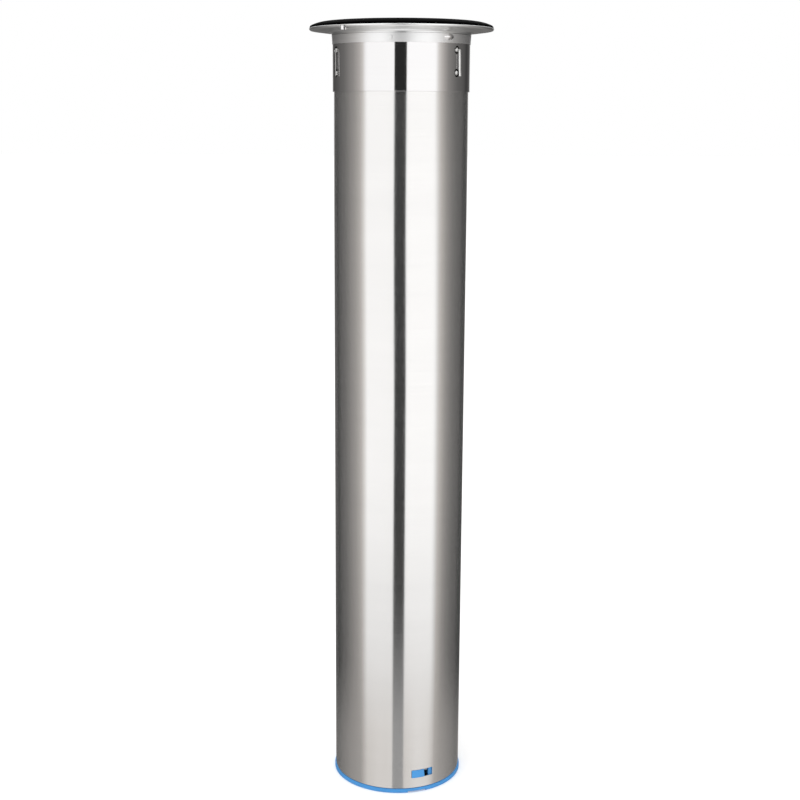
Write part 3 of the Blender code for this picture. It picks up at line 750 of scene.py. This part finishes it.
def make_gasket():
    """The rubber gasket: a clamped rim and petals that hang a little, parted by slits with round roots."""
    radii = [GASKET_R, 54.0, 48.0] + [GASKET_ROOT_R - step * 1.6 for step in range(7)]
    radii[-1] = GASKET_TIP_R
    under = [(radius, GASKET_LOW.z - petal_sag(radius)) for radius in radii]
    over = [(radius, GASKET_HIGH.z - petal_sag(radius)) for radius in reversed(radii)]
    builder = bmesh.new()
    add_ring(builder, under + over)
    gasket = place("gasket_petals", builder)
    slits = bmesh.new()
    span_z = (GASKET_LOW.z - GASKET_SAG - 1, GASKET_HIGH.z + 1)
    for petal in range(PETALS):
        azimuth = 360.0 * (petal + 0.5) / PETALS
        slit = plain(rectangle(GASKET_TIP_R - 2, GASKET_ROOT_R, *span_z))
        add_prism(slits, slit, SLIT_WIDTH, azimuth)
    cut(gasket, slits)
    bevel(gasket, 0.12)
    finish_piece(gasket, "housing", "black_rubber", "cup_gasket")


def make_stop_ring():
    low, high = STOP_LOW.z, STOP_HIGH.z
    shoulder = TUBE_HIGH.z + 0.3
    corners = [(STOP_BORE_R, low, 0.3), (TUBE_BORE_R - 0.3, low, 0.3), (TUBE_BORE_R - 0.3, shoulder, 0)]
    corners += [(STOP_R, shoulder, 0.2), (STOP_R, high, 0.2), (STOP_BORE_R, high, 1.0)]
    builder = bmesh.new()
    add_ring(builder, soften(corners))
    finish_piece(place("mouth_stop_ring", builder), "housing", "grey_plastic", "stop_ring")


# Base cap


def make_base_cap():
    """The cap: rim, recessed and ribbed underside, drains, and a skirt slotted for the latches."""
    skirt_bore = CAP_SKIRT_R - CAP_SKIRT_WALL
    corners = [(CAP_R, 0, 0.5), (CAP_R, CAP_RIM_TOP, 0.3), (CAP_SKIRT_R, CAP_RIM_TOP, 0)]
    corners += [(CAP_SKIRT_R, CAP_HIGH.z, 0.6), (skirt_bore, CAP_HIGH.z, 0.4), (skirt_bore, CAP_FLOOR, 0.5)]
    corners += [(CAP_HUB_R, CAP_FLOOR, 0.4), (CAP_HUB_R, CAP_RECESS_DEPTH, 0.3)]
    corners += [(CAP_RECESS_R, CAP_RECESS_DEPTH, 0.3), (CAP_RECESS_R, 0, 0.4)]
    builder = bmesh.new()
    add_ring(builder, soften(corners))
    cap = place("cap_shell", builder)
    slot = rectangle(skirt_bore - 2, CAP_SKIRT_R + 2, LATCH_SLOT_BASE, CAP_HIGH.z + 2)
    cut(cap, sectors(plain(slot), LATCH_SLOT_AZ))
    cut(cap, sectors(plain(rectangle(CAP_RECESS_R + 2, CAP_R + 2, -1, PRY_DEPTH)), PRY_AZ))
    drains = bmesh.new()
    drain = [(0, -1), (CAP_DRAIN_R, -1), (CAP_DRAIN_R, CAP_FLOOR + 1), (0, CAP_FLOOR + 1)]
    for step in range(6):
        add_pin(drains, drain, upright_frame(60.0 * step, CAP_DRAIN_CIRCLE_R))
    cut(cap, drains)
    finish_piece(cap, "housing", "blue_plastic", "base_cap")
    for step in range(6):
        builder = bmesh.new()
        rib = rectangle(CAP_HUB_R + 2.5, CAP_RECESS_R + 0.3, 0.25, CAP_RECESS_DEPTH + 0.3)
        add_prism(builder, plain(rib), CAP_RIB_WIDTH, 60.0 * step + 30.0)
        made = place(f"cap_rib_{step}", builder)
        bevel(made, 0.2)
        finish_piece(made, "housing", "blue_plastic")


def make_latches():
    """The cap's snap fingers, each with a wedge-shaped lug that fills part of the tube's window."""
    inner = CAP_SKIRT_R - LATCH_WALL
    low, high = LUG_Z
    corners = [(inner, LATCH_BASE, 0.2), (CAP_SKIRT_R, LATCH_BASE, 0.2), (CAP_SKIRT_R, low, 0)]
    corners += [(LUG_R - 0.1, low, 0.6), (LUG_R, low + 1.6, 0.8), (TUBE_R + 0.1, high - 0.3, 0.4)]
    corners += [(TUBE_R - 0.5, high, 0.3), (CAP_SKIRT_R, high, 0), (CAP_SKIRT_R, LATCH_TOP, 0.6)]
    corners += [(inner, LATCH_TOP, 0.4)]
    for letter, half in zip(LETTERS, HALVES):
        builder = bmesh.new()
        add_sector(builder, soften(corners), LATCH_AZ[0] + half, LATCH_AZ[1] + half, 16)
        latch = place(f"latch_finger_{letter}", builder)
        bevel(latch, 0.3, 3)
        finish_piece(latch, f"latch_{letter}", "blue_plastic", f"cap_latch_{letter}")


# Carriage


def make_platform():
    """The platform: a dished plate with a ring step and drain grooves, and a skirt."""
    skirt_bore = PLATFORM_R - PLATFORM_WALL
    low, top = PLATFORM_LOW.z, PLATFORM_HIGH.z
    underside = top - PLATFORM_PLATE
    floor = top - DISH_DEPTH
    corners = [(PLATFORM_HOLE_R, underside, 0.3), (skirt_bore, underside, 0.8), (skirt_bore, low, 0.4)]
    corners += [(PLATFORM_R, low, 0.4), (PLATFORM_R, top, 1.2), (DISH_R + 1, top, 0.5), (DISH_R, floor, 0.5)]
    corners += [(22.0, floor, 0.2), (21.6, floor - 0.5, 0.2), (20.4, floor - 0.5, 0.2), (20.0, floor, 0.2)]
    corners += [(PLATFORM_HOLE_R, floor, 0.5)]
    builder = bmesh.new()
    add_ring(builder, soften(corners))
    platform = place("platform_plate", builder)
    grooves = bmesh.new()
    for step in range(6):
        groove = rectangle(PLATFORM_HOLE_R + 4, DISH_R - 3, floor - 0.5, floor + 2)
        add_prism(grooves, plain(groove), 1.2, 60.0 * step)
    cut(platform, grooves)
    finish_piece(platform, "carriage", "white_plastic", "platform")


def make_shoes():
    low, high = SHOE_Z
    corners = [(PLATFORM_R + 0.3, low, 0.2), (TUBE_BORE_R - 0.5, low, 1.0), (TUBE_BORE_R - 0.5, high, 1.0)]
    corners += [(PLATFORM_R + 0.3, high, 0.2)]
    for letter, third in zip(LETTERS, THIRDS):
        builder = bmesh.new()
        middle = SHOE_AZ + third
        add_sector(builder, soften(corners), middle - SHOE_SPAN_AZ / 2, middle + SHOE_SPAN_AZ / 2, 12)
        shoe = place(f"shoe_{letter}", builder)
        bevel(shoe, 0.3)
        finish_piece(shoe, "carriage", "grey_plastic", f"guide_shoe_{letter}")


def make_centring_ring():
    """The ring under the platform and the pan-head screws that hold it."""
    builder = bmesh.new()
    add_ring(builder, soften(rectangle(RING_HIGH.x - 6.0, RING_HIGH.x, RING_LOW.z, RING_HIGH.z, 0.6)))
    finish_piece(place("centring_ring", builder), "carriage", "grey_plastic", "spring_centring_ring")
    for letter, third in zip(LETTERS, THIRDS):
        low, high = span(f"platform_screw_{letter}")
        outline = [(0, low.z), (1.5, low.z), (2.1, low.z + 0.4), (2.3, low.z + 1.0), (2.3, low.z + 1.6)]
        outline += [(1.1, low.z + 1.6), (1.1, high.z), (0, high.z)]
        builder = bmesh.new()
        add_pin(builder, outline, upright_frame(SHOE_AZ + third, SCREW_CIRCLE_R))
        screw = place(f"screw_{letter}", builder)
        finish_piece(screw, "carriage", "fastener_steel", f"platform_screw_{letter}")


def spring_height(turn, bottom, top):
    """Height of the wire's centre: closed turns at both ends and an even pitch between them."""
    closed_pitch = 2 * SPRING_WIRE_R + 0.4
    closed_rise = closed_pitch * SPRING_CLOSED_TURNS
    if turn < SPRING_CLOSED_TURNS:
        return bottom + closed_pitch * turn
    if turn > SPRING_TURNS - SPRING_CLOSED_TURNS:
        return top - closed_pitch * (SPRING_TURNS - turn)
    share = (turn - SPRING_CLOSED_TURNS) / (SPRING_TURNS - 2 * SPRING_CLOSED_TURNS)
    return bottom + closed_rise + (top - bottom - 2 * closed_rise) * share


def make_spring():
    """The lift spring, which shortens as the platform goes down, and the washer under it."""
    bottom, top = SPRING_LOW.z + SPRING_WIRE_R, SPRING_HIGH.z - SPRING_WIRE_R
    builder = bmesh.new()
    count = SPRING_TURNS * SPRING_STEPS
    rings = []
    for step in range(count + 1):
        turn = step / SPRING_STEPS
        height = spring_height(turn, bottom, top)
        ring = []
        for side in range(SPRING_SIDES):
            angle = 2 * math.pi * side / SPRING_SIDES
            radius = SPRING_MEAN_R + SPRING_WIRE_R * math.cos(angle)
            level = height + SPRING_WIRE_R * math.sin(angle)
            ring.append(builder.verts.new(polar(360.0 * turn, radius, level)))
        rings.append(ring)
    for ring, following in zip(rings, rings[1:]):
        for side in range(SPRING_SIDES):
            after = (side + 1) % SPRING_SIDES
            builder.faces.new((ring[side], ring[after], following[after], following[side]))
    builder.faces.new(rings[0])
    builder.faces.new(rings[-1])
    spring = finish_piece(place("coil_spring", builder), "housing", "spring_steel", "lift_spring")
    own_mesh(spring)
    builder = bmesh.new()
    add_ring(builder, soften(rectangle(SEAT_HIGH.x - 8.0, SEAT_HIGH.x, SEAT_LOW.z, SEAT_HIGH.z, 0.2)))
    finish_piece(place("seat_washer", builder), "housing", "fastener_steel", "spring_seat")


# Studio


WHITE = 1.25
# Brightness of the room against degrees from the front, at three heights, left and right of it
UPPER_LEFT = (
    (0, 1.20), (55, 1.19), (60, 1.09), (66, 0.68), (72, 0.50), (78, 0.41), (86, 0.31), (94, 0.26),
    (102, 0.205), (110, 0.16), (120, 0.137), (130, 0.105), (140, 0.09), (150, 0.07), (160, 0.13),
    (170, 1.0), (180, 1.0),
)
UPPER_RIGHT = (
    (0, 1.24), (57, 1.24), (60, 1.19), (66, 0.76), (72, 0.55), (78, 0.41), (86, 0.27), (94, 0.214),
    (102, 0.166), (110, 0.133), (120, 0.118), (130, 0.094), (140, 0.05), (150, 0.078), (160, 0.14),
    (170, 1.0), (180, 1.0),
)
LEVEL_LEFT = (
    (0, 1.19), (56, 1.19), (60, 1.14), (66, 0.79), (72, 0.54), (78, 0.44), (86, 0.34), (94, 0.28),
    (102, 0.216), (110, 0.163), (120, 0.131), (130, 0.095), (140, 0.06), (150, 0.09), (160, 0.13),
    (170, 0.16), (176, 0.05), (180, 0.04),
)
LEVEL_RIGHT = (
    (0, WHITE), (58, WHITE), (62, 1.22), (66, 1.03), (72, 0.65), (78, 0.51), (86, 0.355), (94, 0.265),
    (102, 0.21), (110, 0.168), (120, 0.137), (130, 0.112), (140, 0.07), (150, 0.06), (160, 0.09),
    (170, 0.12), (176, 0.05), (180, 0.04),
)
LOW_LEFT = (
    (0, 0.80), (12, 0.79), (24, 0.755), (36, 0.773), (48, 0.72), (58, 0.685), (66, 0.51), (72, 0.385),
    (85, 0.34), (97, 0.312), (110, 0.26), (122, 0.23), (134, 0.187), (146, 0.16), (158, 0.168),
    (170, 0.18), (180, 0.25),
)
LOW_RIGHT = (
    (0, 0.70), (12, 0.71), (24, 0.775), (36, 0.845), (48, 0.82), (58, 0.78), (66, 0.64), (72, 0.46),
    (85, 0.37), (97, 0.33), (110, 0.28), (122, 0.243), (134, 0.203), (146, 0.18), (158, 0.225),
    (170, 0.33), (180, 0.38),
)
# Heights, as the z of a direction, over which one thing fades into the next
LEVEL_TO_UPPER_Z = (-0.07, 0.02)
LEVEL_TO_LOW_Z = (-0.385, -0.43)
LEVEL_DIM_Z = (-0.26, -0.40)
LEVEL_DIM = 0.22
ROOM_TURN_Z = (-0.08, -0.2)
ROOM_TURN = (1.0, -1.3)  # degrees
GAP_HALF_ANGLE = (9.6, 10.6)  # the dark gap straight in front: its soft edge
GAP_Z = (-0.355, -0.425)
GAP_LEVEL = (0.02, 0.3)
FLOOR_Z = (-0.78, -0.92)
FLOOR_LEVEL = 0.75
CEILING_Z = (0.12, 0.5)
CEILING_LEVEL = 0.9
WARM = (1.05, 1.0, 0.955)
FLOOR_HALF_WIDTH = 15000.0
FLOOR_GAP = 0.2
LAMP_PLACE = (-0.5, -0.7, 2.2)  # metres
LAMP_AIM = (-0.5, -0.7, 1.9)


def light_ramp(tree, share, stops):
    """A colour ramp over 0..180 degrees; the greys between black and white are a little warm."""
    made = node(tree, "ShaderNodeValToRGB", {0: share})
    elements = made.color_ramp.elements
    while len(elements) < len(stops):
        elements.new(0.5)
    for element, (angle, level) in zip(elements, stops):
        element.position = angle / 180.0
        warmth = 4 * min(level, 1.0) * (1 - min(level, 1.0))
        tint = [1 + (channel - 1) * warmth for channel in WARM]
        element.color = (level * tint[0] / WHITE, level * tint[1] / WHITE, level * tint[2] / WHITE, 1)
    return made.outputs[0]


def make_world():
    """A pale room with a dark gap between two broad lamps, seen by the object only; the camera sees white."""
    world = bpy.data.worlds.new("studio")
    bpy.context.scene.world = world
    world.use_nodes = True
    tree = world.node_tree
    tree.nodes.clear()
    direction = node(tree, "ShaderNodeTexCoord").outputs["Generated"]
    height = node(tree, "ShaderNodeSeparateXYZ", {0: direction}).outputs[2]
    angle = fade(tree, height, *ROOM_TURN_Z, *map(math.radians, ROOM_TURN))
    inputs = {"Vector": direction, "Angle": angle}
    turned = node(tree, "ShaderNodeVectorRotate", inputs, rotation_type="Z_AXIS")
    x, y, z = node(tree, "ShaderNodeSeparateXYZ", {0: turned.outputs[0]}).outputs
    right = fade(tree, x, -0.02, 0.02)
    azimuth = maths(tree, "ARCTAN2", maths(tree, "ABSOLUTE", x), maths(tree, "MULTIPLY", y, -1.0))
    share = maths(tree, "DIVIDE", azimuth, math.pi)
    bands = []
    pairs = ((UPPER_LEFT, UPPER_RIGHT), (LEVEL_LEFT, LEVEL_RIGHT), (LOW_LEFT, LOW_RIGHT))
    for left_stops, right_stops in pairs:
        on_left = light_ramp(tree, share, left_stops)
        bands.append(blend(tree, right, on_left, light_ramp(tree, share, right_stops)))
    upper, level, low = bands
    level = blend(tree, fade(tree, z, *LEVEL_DIM_Z, 0.0, LEVEL_DIM), level, grey(0.0))
    lower = blend(tree, fade(tree, z, *LEVEL_TO_LOW_Z), level, low)
    sideways = blend(tree, fade(tree, z, *LEVEL_TO_UPPER_Z), lower, upper)
    gap_light = blend(tree, fade(tree, z, *GAP_Z), *map(grey, GAP_LEVEL))
    half_angle = [edge / 180.0 for edge in GAP_HALF_ANGLE]
    sideways = blend(tree, fade(tree, share, *half_angle), gap_light, sideways)
    sideways = blend(tree, fade(tree, z, *FLOOR_Z), sideways, grey(FLOOR_LEVEL))
    room = blend(tree, fade(tree, z, *CEILING_Z), sideways, grey(CEILING_LEVEL))
    lit = node(tree, "ShaderNodeBackground", {"Color": room, "Strength": WHITE})
    white = node(tree, "ShaderNodeBackground", {"Color": grey(1.0), "Strength": 1.0})
    seen = node(tree, "ShaderNodeLightPath").outputs["Is Camera Ray"]
    mixed = node(tree, "ShaderNodeMixShader", {0: seen, 1: lit.outputs[0], 2: white.outputs[0]})
    node(tree, "ShaderNodeOutputWorld", {"Surface": mixed.outputs[0]})


def make_floor():
    """A plain pale floor just under the foot, which reflections pass by."""
    builder = bmesh.new()
    bmesh.ops.create_grid(builder, x_segments=2, y_segments=2, size=FLOOR_HALF_WIDTH)
    floor = place("floor", builder)
    floor.location.z = -FLOOR_GAP * MM
    made, _tree, shader = new_material("floor_white")
    shader.inputs["Base Color"].default_value = grey(0.86)
    shader.inputs["Roughness"].default_value = 0.9
    shader.inputs["Specular IOR Level"].default_value = 0.0
    shader.inputs["Emission Color"].default_value = grey(1.0)
    shader.inputs["Emission Strength"].default_value = 0.2
    floor.data.materials.append(made)
    floor.visible_glossy = False


def make_lamp():
    """A broad lamp overhead, which gives the object a soft shadow."""
    data = bpy.data.lights.new("overhead", "AREA")
    data.shape = "DISK"
    data.size = 1.6
    data.energy = 9.0
    lamp = bpy.data.objects.new("overhead", data)
    lamp.location = LAMP_PLACE
    lamp.rotation_euler = Vector(LAMP_AIM).to_track_quat("Z", "Y").to_euler()
    lamp.visible_glossy = False
    lamp.visible_camera = False
    bpy.context.scene.collection.objects.link(lamp)


CAMERA_DISTANCE = 1.0535
CAMERA_HEIGHT = 0.5278
CAMERA_TILT = 11.91
CAMERA_YAW = 0.8
CAMERA_ROLL = 0.19
CAMERA_LENS = 62.22
CAMERA_SHIFT = (0.0246, 0.0004)


def make_camera():
    data = bpy.data.cameras.new("camera")
    data.lens = CAMERA_LENS
    data.sensor_width = 36.0
    data.shift_x, data.shift_y = CAMERA_SHIFT
    data.clip_start = 0.05
    data.clip_end = 60.0
    camera = bpy.data.objects.new("camera", data)
    yaw = Matrix.Rotation(math.radians(CAMERA_YAW), 4, "Z")
    tilt = Matrix.Rotation(math.radians(90.0 - CAMERA_TILT), 4, "X")
    roll = Matrix.Rotation(math.radians(CAMERA_ROLL), 4, "Z")
    camera.matrix_world = Matrix.Translation((0, -CAMERA_DISTANCE, CAMERA_HEIGHT)) @ yaw @ tilt @ roll
    bpy.context.scene.collection.objects.link(camera)
    bpy.context.scene.camera = camera


FINISHES = make_finishes()
make_tube()
make_collar()
make_neck()
make_bumps()
make_rivets()
make_flange()
make_clips()
make_trim_ring()
make_gasket()
make_stop_ring()
make_base_cap()
make_latches()
make_platform()
make_shoes()
make_centring_ring()
make_spring()
make_world()
make_floor()
make_lamp()
make_camera()
bpy.context.scene.view_settings.view_transform = "Standard"
